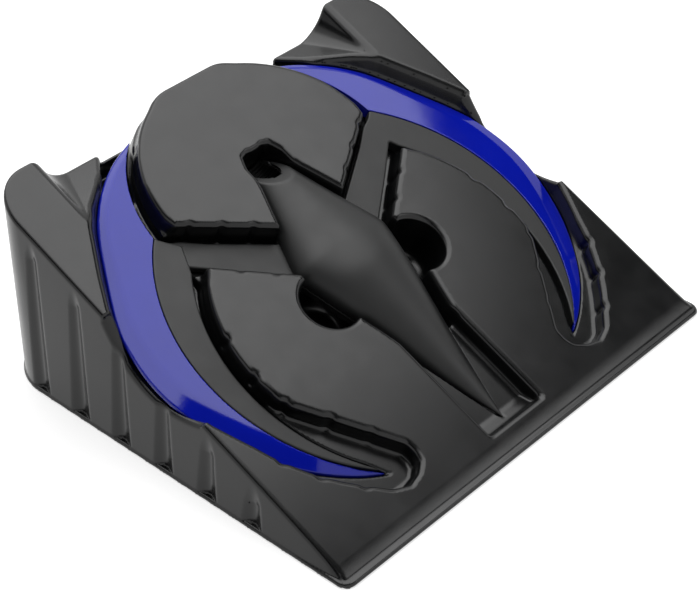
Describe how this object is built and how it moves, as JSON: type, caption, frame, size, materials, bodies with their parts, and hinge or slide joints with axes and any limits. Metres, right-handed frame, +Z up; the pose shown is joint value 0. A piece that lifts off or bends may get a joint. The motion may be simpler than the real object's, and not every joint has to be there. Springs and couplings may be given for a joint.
{
  "type": "wedge display ramp",
  "caption": "Ramp-shaped thermoformed tray with deep pockets and finger notches that holds a lift-out insert: a faired spindle with crescent wings.",
  "frame": {"origin": "middle of the base, on the surface that the ramp stands on", "axes": "+X to the right across the ramp, +Y to the high back wall, +Z up"},
  "size_m": [0.36, 0.312, 0.1388],
  "materials": {
    "formed_black": "satin thermoformed sheet",
    "moulded_black": "satin moulded",
    "liner_black": "dull moulded",
    "gloss_blue": "gloss moulded",
    "plated_steel": "zinc plated"
  },
  "bodies": {
    "ramp": {"ramp_shell": "formed_black"},
    "insert": {"spindle_upper_shell": "moulded_black", "spindle_lower_shell": "moulded_black", "socket_sleeve": "liner_black", "wing_frame_left": "moulded_black", "wing_frame_right": "moulded_black", "blade_left": "gloss_blue", "blade_right": "gloss_blue", "spindle_screw_1": "plated_steel", "spindle_screw_2": "plated_steel", "spindle_screw_3": "plated_steel", "arm_screw_left": "plated_steel", "arm_screw_right": "plated_steel"}
  },
  "joints": [
    {"name": "insert_lift", "type": "slide", "parent": "ramp", "child": "insert", "axis": [0, -0.4115, 0.9114], "range_m": [0, 0.06]}
  ]
}
